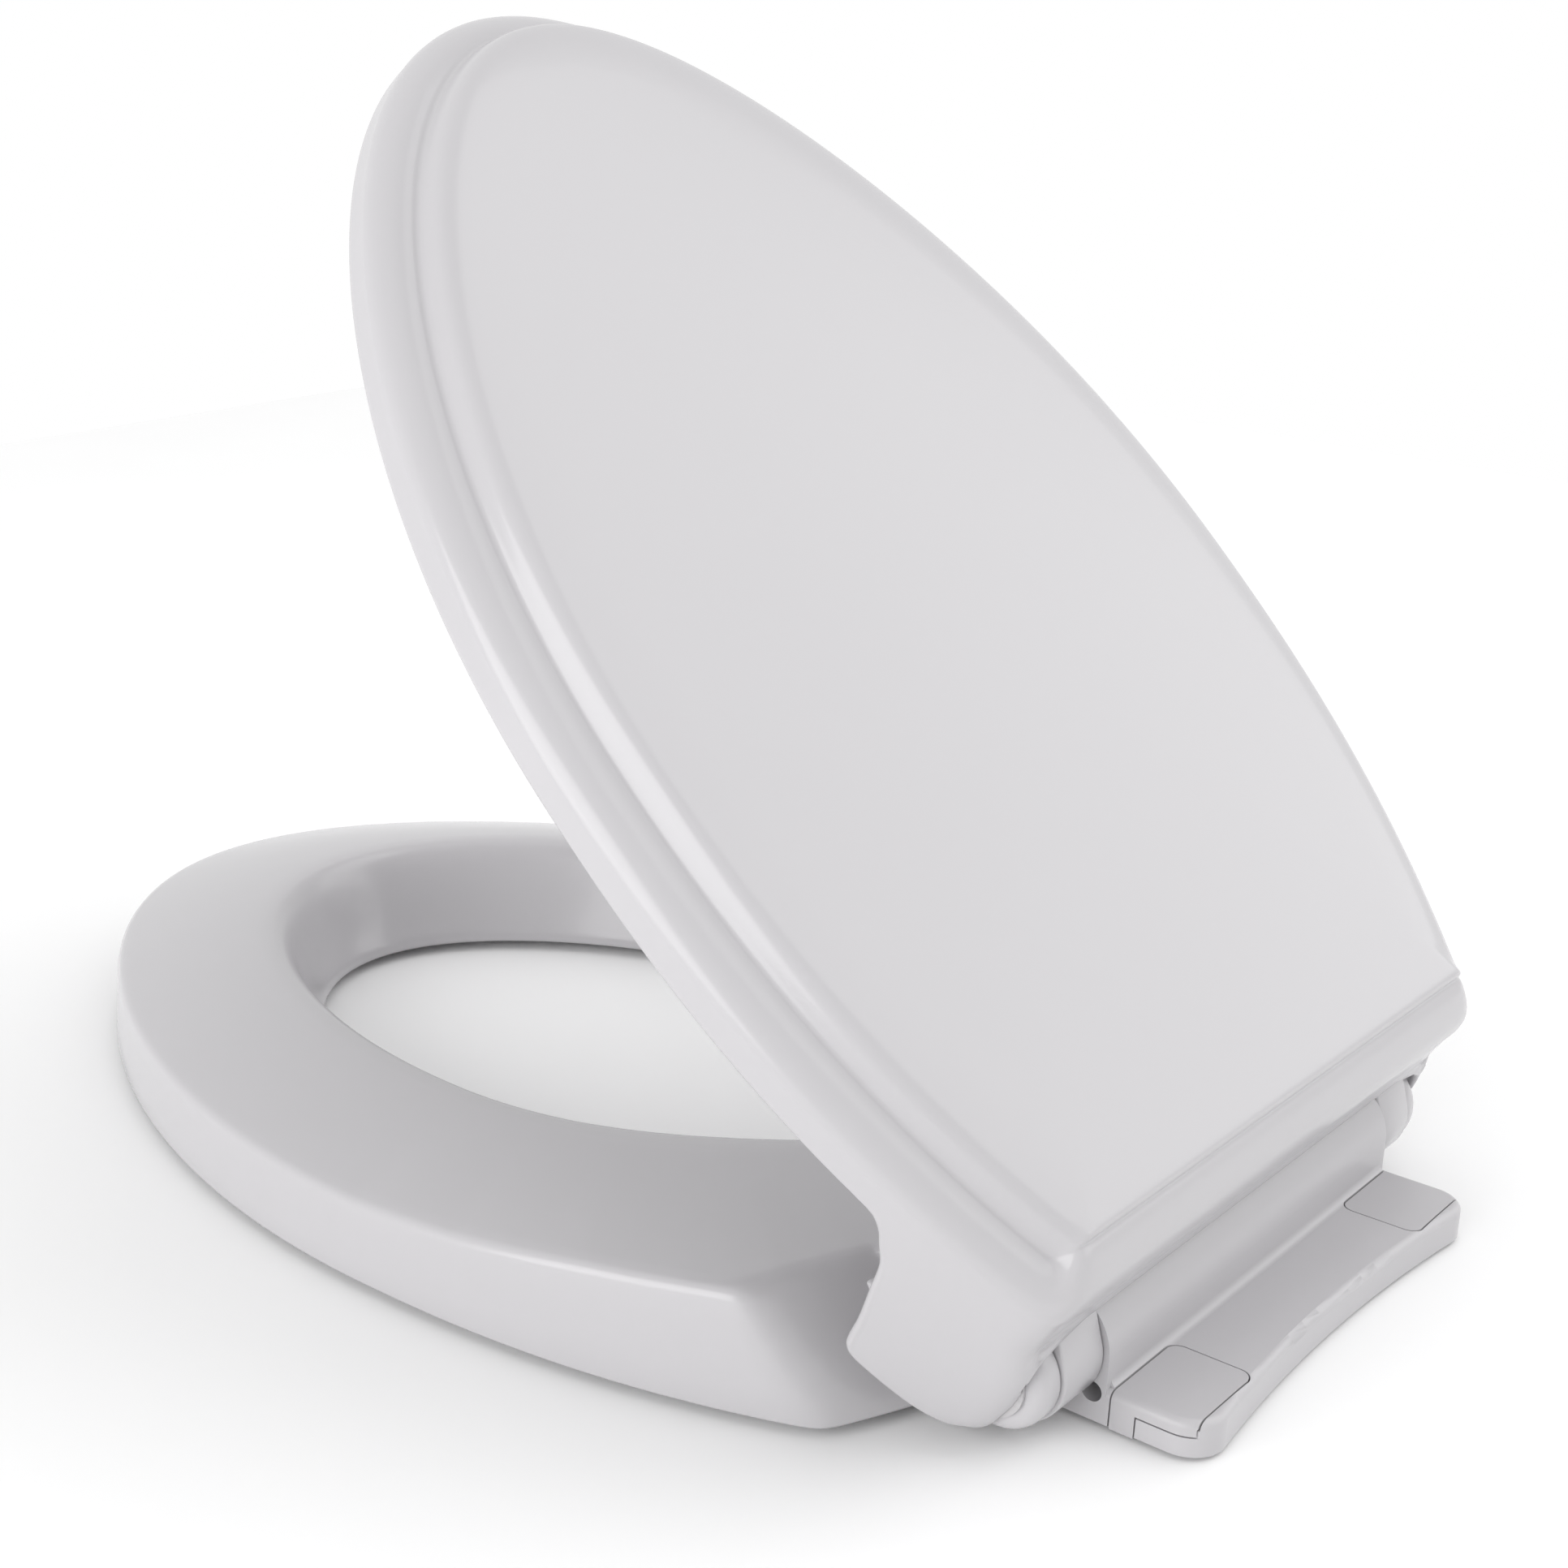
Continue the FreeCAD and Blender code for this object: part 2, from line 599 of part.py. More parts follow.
def wing():
    """Side wing of the lid at +X, in front of the hinge and outside it."""
    low, high = wing_bottom_z, lid_rim_z + 2
    outer = loft([outline_wire(z, -lid_overhang, wing_rear_y + 2) for z in (low - 2, high)])
    inner = loft([outline_wire(z, lid_wall - lid_overhang, wing_rear_y + 3) for z in (low - 3, high + 1)])
    side = [(wing_front_top_y - 1, high), (wing_front_bottom_y - 1.5, low + wing_corner_radius),
            (wing_front_bottom_y + wing_corner_radius - 1, low), (axis_y - wing_corner_radius - 1, low)]
    for angle in (100, 120, 140, 160):
        turn = math.radians(angle)
        side.append((axis_y - math.cos(turn) * wing_back, axis_z - math.sin(turn) * (axis_z - low)))
    side += [(wing_rear_y, axis_z), (wing_rear_y, axis_z + 3),
             (axis_y + wing_back_high, axis_z + barrel_radius - 2), (lid_rear_y(high) - 0.1, high)]
    return outer.cut(inner).common(prism(side, seat_knuckle_x1 + knuckle_gap, half_width + 20))


def lid_knuckle():
    """Lid knuckle at +X with the web that joins it to the rear wall."""
    front_y_web = axis_y - lid_knuckle_radius - 2
    web_top = lid_top_z - 6
    side = [(axis_y - lid_knuckle_radius + 1, axis_z + 4), (front_y_web, lid_rear_edge_z + 5),
            (front_y_web, web_top), (lid_rear_y(web_top) - 1, web_top),
            (lid_rear_y(lid_rim_z) - 1, lid_rim_z), (lid_rear_edge_y - 0.5, lid_rear_edge_z),
            (axis_y + lid_knuckle_radius / 2, axis_z + lid_knuckle_radius * 0.85)]
    web = prism(side, lid_knuckle_x0, lid_knuckle_x1)
    return web.fuse(cyl_x(lid_knuckle_radius, lid_knuckle_x0, lid_knuckle_x1))


def make_lid_shell():
    body = lid_body(0, 0, lid_rear_edge_z)
    hollow = lid_body(lid_wall, lid_wall, lid_rear_edge_z - 2)
    body = body.cut(hollow)
    below = box(-half_width - 20, half_width + 20, front_y - 20, lid_rear_edge_y - lid_wall - 2.5,
                lid_rear_edge_z - 5, lid_rim_z)
    body = body.cut(below)
    body = fused([body] + both_sides(wing()) + both_sides(lid_knuckle()))
    bore = bush_radius + keyed_gap
    holes = both_sides(cyl_x(bore, lid_knuckle_x0 - cut_margin, lid_knuckle_x1 + cut_margin))
    return opened(body.cut(Part.makeCompound(holes)))


def make_lid_bumper(turn, side):
    """Rubber bumper under the lid, resting on the seat when the lid is shut."""
    x, y = shifted(outline_point, turn, lid_bumper_inset)
    x *= side
    step_z = lid_rim_z + 4
    disc = cyl_z(lid_bumper_radius, x, y, seat_top_z + bumper_play, step_z)
    ceiling = lid_body(lid_wall, lid_wall, lid_rear_edge_z - 2)
    stem = cyl_z(lid_bumper_radius * lid_bumper_stem_share, x, y, step_z, lid_top_z - 1).common(ceiling)
    return opened(fused([disc, stem]))


# ================================================================ all pieces
def pieces():
    """Name and solid of every piece of the part."""
    made = {
        "hinge_base": make_hinge_base(),
        "base_pads": make_base_pads(),
        "lid_damper_housing": make_damper_housing(1),
        "seat_damper_housing": make_damper_housing(-1),
        "lid_damper_cap": make_damper_cap(1),
        "seat_damper_cap": make_damper_cap(-1),
        "lid_damper_seal": make_damper_seal(1),
        "seat_damper_seal": make_damper_seal(-1),
        "lid_damper_shaft": make_damper_shaft(1),
        "seat_damper_shaft": make_damper_shaft(-1),
        "bolt_cover_right": make_bolt_cover(1),
        "bolt_cover_left": make_bolt_cover(-1),
        "seat_upper_shell": make_seat_upper_shell(),
        "seat_lower_plate": make_seat_lower_plate(),
        "seat_drive_bush": make_seat_bush(True, -1),
        "seat_idle_bush": make_seat_bush(False, 1),
        "lid_shell": make_lid_shell(),
        "lid_drive_bush": make_lid_bush(True, 1),
        "lid_idle_bush": make_lid_bush(False, -1),
    }
    corners = ("front_right", "front_left", "rear_right", "rear_left")
    for corner, (x, y) in zip(corners, foot_places()):
        made["seat_foot_%s" % corner] = make_seat_foot(x, y)
    for end, turn in zip(("rear", "front"), lid_bumper_turns):
        for side, sign in (("right", 1), ("left", -1)):
            made["lid_bumper_%s_%s" % (end, side)] = make_lid_bumper(turn, sign)
    return made


os.makedirs("parts", exist_ok=True)
for name, shape in pieces().items():
    shape.exportStep("parts/%s.step" % name)
    print("%-24s solids %d valid %s volume %.0f z %.1f..%.1f" % (
        name, len(shape.Solids), shape.isValid(), shape.Volume, shape.BoundBox.ZMin, shape.BoundBox.ZMax))
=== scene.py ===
"""Studio scene of a slow-close toilet seat: seat ring, lid, hinge barrel and bolt covers.

The CAD frame gives the base, covers, feet, bumpers and damper parts.  The two big glossy
mouldings, the seat shell and the lid shell, are built here as finer closed surfaces.
Lengths inside the sub-assembly classes are millimetres; meshes are made in metres.
"""

import json
import logging
import math
from dataclasses import dataclass, field
from enum import Enum
from typing import Sequence

import bmesh
import bpy
import numpy as np
from mathutils import Matrix, Vector


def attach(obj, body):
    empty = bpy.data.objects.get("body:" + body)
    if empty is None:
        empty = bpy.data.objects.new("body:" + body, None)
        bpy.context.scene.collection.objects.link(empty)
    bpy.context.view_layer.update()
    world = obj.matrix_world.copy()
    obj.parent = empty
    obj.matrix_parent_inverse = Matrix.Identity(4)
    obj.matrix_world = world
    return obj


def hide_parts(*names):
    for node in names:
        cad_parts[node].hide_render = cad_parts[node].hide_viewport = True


LOG = logging.getLogger("seat_scene")
MM = 0.001
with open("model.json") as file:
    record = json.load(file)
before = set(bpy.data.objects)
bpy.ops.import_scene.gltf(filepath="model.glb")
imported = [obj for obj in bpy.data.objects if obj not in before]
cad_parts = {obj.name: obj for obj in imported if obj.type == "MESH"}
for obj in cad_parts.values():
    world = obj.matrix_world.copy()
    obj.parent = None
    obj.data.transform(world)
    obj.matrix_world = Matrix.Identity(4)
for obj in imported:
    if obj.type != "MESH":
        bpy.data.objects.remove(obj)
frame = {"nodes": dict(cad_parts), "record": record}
Array = np.ndarray
Colour = tuple[float, float, float]


class Side(Enum):
    """End of the hinge: RIGHT is +X."""

    RIGHT = 1
    LEFT = -1


class Grain(Enum):
    """Surface relief of a finish."""

    GLOSS = "gloss"
    SATIN = "satin"
    RUBBER = "rubber"
    TURNED = "turned"


# ------------------------------------------------------------------ shape helpers
def smooth_min(values: Sequence[Array], radius: float) -> Array:
    """Smallest of several distances, rounded where two are close.

    Args:
        values: Distances in millimetres, of one shape.
        radius: Size of the rounding.

    Returns:
        The rounded smallest distance.
    """
    stack = np.stack(np.broadcast_arrays(*values))
    low = stack.min(axis=0)
    return low - radius * np.log(np.exp(-(stack - low) / radius).sum(axis=0))


def smooth_step(value: Array, low: float, high: float) -> Array:
    """Ramp from 0 at low to 1 at high with flat ends."""
    share = np.clip((value - low) / (high - low), 0.0, 1.0)
    return share * share * (3 - 2 * share)


def spline(points: Sequence[Sequence[float]], count: int) -> Array:
    """Smooth curve through control points, evenly spaced in the parameter.

    Args:
        points: Control points, any number of values each.
        count: Number of samples per stretch.

    Returns:
        Array of samples, the first and last control points included.
    """
    ctrl = np.array(points, float)
    padded = np.vstack([2 * ctrl[0] - ctrl[1], ctrl, 2 * ctrl[-1] - ctrl[-2]])
    out = []
    for i in range(1, len(padded) - 2):
        p0, p1, p2, p3 = padded[i - 1:i + 3]
        t = np.linspace(0, 1, count, endpoint=False)[:, None]
        out.append(0.5 * (2 * p1 + (p2 - p0) * t + (2 * p0 - 5 * p1 + 4 * p2 - p3) * t ** 2
                          + (3 * p1 - p0 - 3 * p2 + p3) * t ** 3))
    out.append(ctrl[-1:])
    return np.vstack(out)


def grid_faces(rows: int, columns: int, start: int = 0, wrap: bool = False) -> list[tuple[int, ...]]:
    """Quads of a grid of vertices stored row by row.

    Args:
        rows: Number of rows.
        columns: Number of columns.
        start: Index of the first vertex.
        wrap: Joins the last column to the first.

    Returns:
        Vertex index tuples.
    """
    faces = []
    last = columns if wrap else columns - 1
    for i in range(rows - 1):
        for j in range(last):
            a = start + i * columns + j
            b = start + i * columns + (j + 1) % columns
            faces.append((a, b, b + columns, a + columns))
    return faces


def mesh_object(name: str, points: Array, faces: Sequence[tuple[int, ...]]) -> bpy.types.Object:
    """Closed smooth mesh object from millimetre points.

    Args:
        name: Object name.
        points: Array of points in millimetres.
        faces: Vertex index tuples.

    Returns:
        The new object, normals outward.
    """
    mesh = bpy.data.meshes.new(name)
    mesh.from_pydata((np.asarray(points, float) * MM).tolist(), [], list(faces))
    work = bmesh.new()
    work.from_mesh(mesh)
    bmesh.ops.remove_doubles(work, verts=work.verts, dist=2e-6)
    bmesh.ops.dissolve_degenerate(work, edges=work.edges, dist=1e-6)
    bmesh.ops.recalc_face_normals(work, faces=work.faces)
    work.to_mesh(mesh)
    work.free()
    mesh.polygons.foreach_set("use_smooth", [True] * len(mesh.polygons))
    mesh.update()
    obj = bpy.data.objects.new(name, mesh)
    bpy.context.scene.collection.objects.link(obj)
    LOG.info("%s: %d faces", name, len(mesh.polygons))
    return obj


def join(objects: Sequence[bpy.types.Object], name: str) -> bpy.types.Object:
    """Join meshes into one object without changing their surfaces.

    Args:
        objects: Mesh objects placed in the row frame.
        name: Name of the joined object.

    Returns:
        The joined object.
    """
    whole = bmesh.new()
    for obj in objects:
        whole.from_mesh(obj.data)
    mesh = bpy.data.meshes.new(name)
    whole.to_mesh(mesh)
    whole.free()
    for obj in objects:
        old = obj.data
        bpy.data.objects.remove(obj)
        bpy.data.meshes.remove(old)
    result = bpy.data.objects.new(name, mesh)
    bpy.context.scene.collection.objects.link(result)
    LOG.info("%s: %d faces joined", name, len(mesh.polygons))
    return result


# ------------------------------------------------------------------ plan shapes
@dataclass
class PlanShape:
    """Plan outline shared by seat and lid, and the opening of the seat."""

    half_width: float = 176.0
    front_y: float = -480.0
    widest_y: float = -220.0
    taper_end_y: float = -6.0
    taper_narrowing: float = 62.0
    taper_power: float = 2.28
    nose_pinch: float = 0.12
    centre_y: float = -237.0
    hole_half_width: float = 99.0
    hole_widest_y: float = -235.0
    hole_front_y: float = -394.0
    hole_rear_y: float = -109.0
    hole_front_pinch: float = 0.02
    hole_rear_pinch: float = 0.05
    last_y: float = 60.0
    samples: int = 500

    def side_x(self, y: Array) -> Array:
        """Half width of the tapering rear part at y."""
        share = np.clip((np.asarray(y, float) - self.widest_y) / (self.taper_end_y - self.widest_y), 0, 2)
        return self.half_width - self.taper_narrowing * share ** self.taper_power

    def half_outline(self) -> Array:
        """Points of the +X half of the outline, from the front tip past the hinge."""
        t = np.linspace(0, math.pi / 2, self.samples)
        x = self.half_width * np.sin(t) * (1 - self.nose_pinch * np.cos(t) ** 2)
        y = self.widest_y - (self.widest_y - self.front_y) * np.cos(t)
        rear = np.linspace(self.widest_y, self.last_y, self.samples)[1:]
        return np.c_[np.r_[x, self.side_x(rear)], np.r_[y, rear]]

    def outline_radius(self, angle: Array, inset: float) -> Array:
        """Distance from the centre to the outline moved inward.

        Args:
            angle: Plan angles in radians, from +X towards +Y.
            inset: How far inside the outline, in millimetres.

        Returns:
            Radii at the angles.
        """
        half = self.half_outline()
        step = np.gradient(half, axis=0)
        step /= np.linalg.norm(step, axis=1)[:, None]
        moved = half + inset * np.c_[-step[:, 1], step[:, 0]]
        moved = moved[moved[:, 0] >= 0]
        theta = np.arctan2(moved[:, 1] - self.centre_y, moved[:, 0])
        reach = np.hypot(moved[:, 0], moved[:, 1] - self.centre_y)
        order = np.argsort(theta)
        folded = np.arctan2(np.sin(angle), np.abs(np.cos(angle)))
        return np.interp(folded, theta[order], reach[order])

    def hole_radius(self, angle: Array, growth: float) -> Array:
        """Distance from the centre to the opening's lip moved outward."""
        t = np.linspace(0, 2 * math.pi, 4 * self.samples, endpoint=False)
        front = np.cos(t) > 0
        forward, rearward = self.hole_widest_y - self.hole_front_y, self.hole_rear_y - self.hole_widest_y
        reach = np.where(front, forward, rearward)
        pinch = np.where(front, self.hole_front_pinch, self.hole_rear_pinch)
        shrink = 1 - pinch * np.sin(2 * t) ** 2
        x = self.hole_half_width * np.sin(t) * shrink
        y = self.hole_widest_y - reach * np.cos(t) * shrink
        dx, dy = np.gradient(x), np.gradient(y)
        length = np.hypot(dx, dy)
        x, y = x + growth * dy / length, y - growth * dx / length
        theta = np.arctan2(y - self.centre_y, x)
        radius = np.hypot(x, y - self.centre_y)
        order = np.argsort(theta)
        theta, radius = theta[order], radius[order]
        turn = np.r_[theta - 2 * math.pi, theta, theta + 2 * math.pi]
        wrapped = np.arctan2(np.sin(angle), np.cos(angle))
        return np.interp(wrapped, turn, np.r_[radius, radius, radius])

    def place(self, angle: Array, radius: Array, z: Array) -> Array:
        """Points at plan angles and distances from the centre."""
        z = np.broadcast_to(z, np.shape(radius))
        return np.stack([radius * np.cos(angle), self.centre_y + radius * np.sin(angle), z], axis=-1)


@dataclass
class HingeAxis:
    """Hinge axis and the knuckles on it."""

    y: float = -32.0
    z: float = 22.0
    bore: float = 8.03
    lid_x: tuple[float, float] = (90.4, 110.9)
    lid_radius: float = 16.5
    seat_x: tuple[float, float] = (111.3, 120.9)
    seat_radius: float = 15.5
    bevel: float = 0.8

    def knuckle(self, name: str, span: tuple[float, float], corners: Sequence[tuple[float, float]],
                radius: float, side: Side, end_round: float = 0.8) -> bpy.types.Object:
        """Knuckle with an arm: a bored disc whose side view is stretched over some corners.

        Args:
            name: Object name.
            span: Range along X for the +X side.
            corners: Corner points (y, z) from the axis that the arm takes in, in turning order.
            radius: Knuckle radius.
            side: End of the hinge.
            end_round: Rounding of the outer end.

        Returns:
            Closed mesh object.
        """
        angle = np.linspace(0, 2 * math.pi, 144, endpoint=False)
        outline = np.full(angle.shape, radius)
        ring = [np.array(c, float) for c in corners]
        direction = np.c_[np.cos(angle), np.sin(angle)]
        for a, b in zip(ring, ring[1:]):
            edge = b - a
            det = direction[:, 0] * -edge[1] + direction[:, 1] * edge[0]
            det = np.where(np.abs(det) < 1e-9, 1e-9, det)
            reach = (a[0] * -edge[1] + a[1] * edge[0]) / det
            share = (direction[:, 0] * a[1] - direction[:, 1] * a[0]) / det
            inside = (reach > 0) & (share >= -1e-6) & (share <= 1 + 1e-6)
            outline = np.where(inside, np.maximum(outline, reach), outline)
        bevel = self.bevel
        rows = []
        x0, x1 = span
        profile = [(x0, 0.0, True), (x0, bevel, False), (x0 + bevel * 0.3, bevel * 0.3, False),
                   (x0 + bevel, 0.0, False)]
        for along, inward in ((1.0, 0.0), (0.6, 0.1), (0.3, 0.3), (0.1, 0.6), (0.0, 1.0)):
            profile.append((x1 - end_round * along, end_round * inward, False))
        profile.append((x1, 0.0, True))
        for x, inset, is_bore in profile:
            reach = np.full(angle.shape, self.bore) if is_bore else outline - inset
            rows.append(np.c_[np.full(angle.shape, x * side.value), self.y + reach * direction[:, 0],
                              self.z + reach * direction[:, 1]])
        rows.append(rows[0])
        return mesh_object(name, np.vstack(rows), grid_faces(len(rows), len(angle), wrap=True))


# ------------------------------------------------------------------ seat shell
@dataclass
class SeatShell:
    """Seat ring with its hinge arms."""

    plan: PlanShape
    hinge: HingeAxis
    bottom_z: float = 3.0
    rear_y: float = -54.5
    columns: int = 960
    groove_z: float = 8.4
    wall: float = 3.0
    corner_round: float = 1.7
    notch_x: float = 113.5
    corner_y: float = -3.6
    corner_slope: float = 0.54
    corner_turn: float = 0.44
    seat_arm_round: float = 4.5
    crease_line: tuple[tuple[float, float], ...] = (
        (-480, 28.0), (-300, 28.5), (-225, 29.0), (-185, 31.5), (-140, 36.5), (-107, 39.3),
        (-80, 41.2), (-54, 41.8))
    crown_line: tuple[tuple[float, float], ...] = (
        (-480, 40.6), (-300, 41.0), (-180, 41.6), (-110, 42.6), (-54, 43.0))
    crest_growth: float = 18.0

    def corner_radius(self, angle: Array, z: Array, back: float) -> Array:
        """Distance to the slanted rear corner wall, which ends inside the hinge arm."""
        folded = np.arctan2(np.sin(angle), np.abs(np.cos(angle)))
        lean = self.corner_y - self.plan.centre_y - self.corner_slope * (z - self.bottom_z) - back
        slope = np.sin(folded) + self.corner_turn * np.cos(folded)
        reach = np.where(slope > 0.05, lean / np.maximum(slope, 0.05), 900.0)
        inner = self.notch_x / np.maximum(np.cos(folded), 0.02)
        return np.where(inner > reach, np.minimum(inner, reach + 400.0), reach)

    def outer_radius(self, angle: Array, inset: float, z: Array) -> Array:
        """Outside of the ring at a height, moved inward by inset."""
        rear = np.where(np.sin(angle) > 0.05, (self.rear_y - inset - self.plan.centre_y)
                        / np.maximum(np.sin(angle), 0.05), 900.0)
        side = self.plan.outline_radius(angle, inset)
        return smooth_min([side, rear, self.corner_radius(angle, z, inset)], self.corner_round)

    def crease_z(self, angle: Array) -> Array:
        """Height of the crease between wall and crown, rising towards the hinge."""
        y = self.plan.centre_y + self.plan.outline_radius(angle, 0.0) * np.sin(angle)
        return np.interp(np.minimum(y, self.rear_y), *zip(*self.crease_line))

    def crown_z(self, angle: Array) -> Array:
        """Height of the ring's crest."""
        y = self.plan.centre_y + self.plan.outline_radius(angle, 30.0) * np.sin(angle)
        return np.interp(np.minimum(y, self.rear_y), *zip(*self.crown_line))

    def build_ring(self) -> bpy.types.Object:
        """Closed ring surface with the groove for the lower plate in its underside."""
        angle = np.linspace(0, 2 * math.pi, self.columns, endpoint=False)
        crease, crown = self.crease_z(angle), self.crown_z(angle)
        rise = crown - crease
        flat = np.zeros_like(angle)
        outer: list[tuple[float, Array]] = [
            (self.wall, flat + self.groove_z), (self.wall, flat + self.bottom_z + 0.4),
            (self.wall - 0.4, flat + self.bottom_z), (0.9, flat + self.bottom_z),
            (0.25, flat + self.bottom_z + 0.3), (0.0, flat + self.bottom_z + 1.0)]
        for share in (0.3, 0.6, 0.85):
            outer.append((0.8 * share, self.bottom_z + 1 + (crease - 5.5 - self.bottom_z) * share))
        outer += [(0.95, crease - 3.4), (1.15, crease - 2.4), (1.5, crease - 1.5), (2.1, crease - 0.7),
                  (2.9, crease - 0.1), (3.9, crease + 0.35)]
        inner: list[tuple[float, Array]] = [
            (16.0, crown - 0.8), (14.2, crown - 2.0), (12.6, crown - 3.8), (11.2, crown - 6.4),
            (9.8, crown - 9.8), (8.4, crown - 13.8), (7.0, crown - 18.0), (5.5, crown - 22.4),
            (3.9, crown - 26.6), (2.4, crown - 30.0), (1.1, crown - 32.4), (0.3, crown - 34.2),
            (0.0, crown - 35.8)]
        inner += [(0.0, flat + self.bottom_z + 1.0), (0.25, flat + self.bottom_z + 0.3),
                  (0.9, flat + self.bottom_z), (self.wall - 0.4, flat + self.bottom_z),
                  (self.wall, flat + self.bottom_z + 0.4), (self.wall, flat + self.groove_z)]
        rows = []
        for inset, z in outer:
            rows.append(self.plan.place(angle, self.outer_radius(angle, inset, z), z))
        last_inset, last_z = outer[-1]
        start = self.outer_radius(angle, last_inset, last_z)
        crest = self.plan.hole_radius(angle, self.crest_growth)
        for share in (0.06, 0.13, 0.22, 0.32, 0.43, 0.55, 0.67, 0.79, 0.9, 1.0):
            z = last_z + (crown - 0.25 - last_z) * (1 - (1 - share) ** 1.55)
            rows.append(self.plan.place(angle, start + (crest - start) * share, z))
        for growth, z in inner:
            rows.append(self.plan.place(angle, self.plan.hole_radius(angle, growth), z))
        rows.append(rows[0])
        return mesh_object("seat_ring", np.vstack(rows), grid_faces(len(rows), self.columns, wrap=True))

    def build(self) -> bpy.types.Object:
        """Ring and both hinge arms as one piece riding on the seat."""
        corners = [(6.0, 14.3), (-11.5, 10.0), (-37.0, 14.0), (-49.0, 15.0), (-49.0, -17.0), (-4.0, -15.5)]
        parts = [self.build_ring()]
        for side in Side:
            parts.append(self.hinge.knuckle("seat_arm", self.hinge.seat_x, corners, self.hinge.seat_radius,
                                            side, end_round=self.seat_arm_round))
        shell = join(parts, "seat_upper_moulding")
        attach(shell, "seat")
        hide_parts("seat_upper_shell")
        return shell


